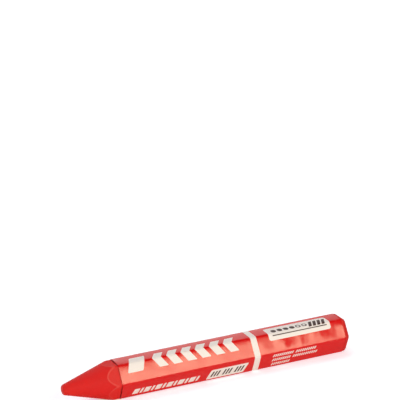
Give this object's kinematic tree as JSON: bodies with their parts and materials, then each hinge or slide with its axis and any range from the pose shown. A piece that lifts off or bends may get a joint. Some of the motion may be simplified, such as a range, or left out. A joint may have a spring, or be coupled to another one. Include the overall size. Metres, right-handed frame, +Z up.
{
  "type": "wax marking crayon",
  "caption": "Six-sided wax marking crayon with a conical nose, in a glossy printed paper wrapper that leaves the nose and butt end bare.",
  "frame": {"origin": "middle of the wrapper's lowest flat, on the surface the crayon lies on, halfway along the stick", "axes": "+X along the stick from the tip to the butt end, so the tip points to -X; +Z up; the wrapper's lap is on the lower side that faces +Y"},
  "size_m": [0.12, 0.0158, 0.0141],
  "materials": {
    "wax": "satin pigmented wax",
    "printed_paper": "gloss coated red print",
    "glue": "dried paste"
  },
  "bodies": {
    "root": {"wax_stick": "wax", "paper_wrapper": "printed_paper", "tack_glue": "glue", "lap_glue": "glue"}
  },
  "joints": []
}
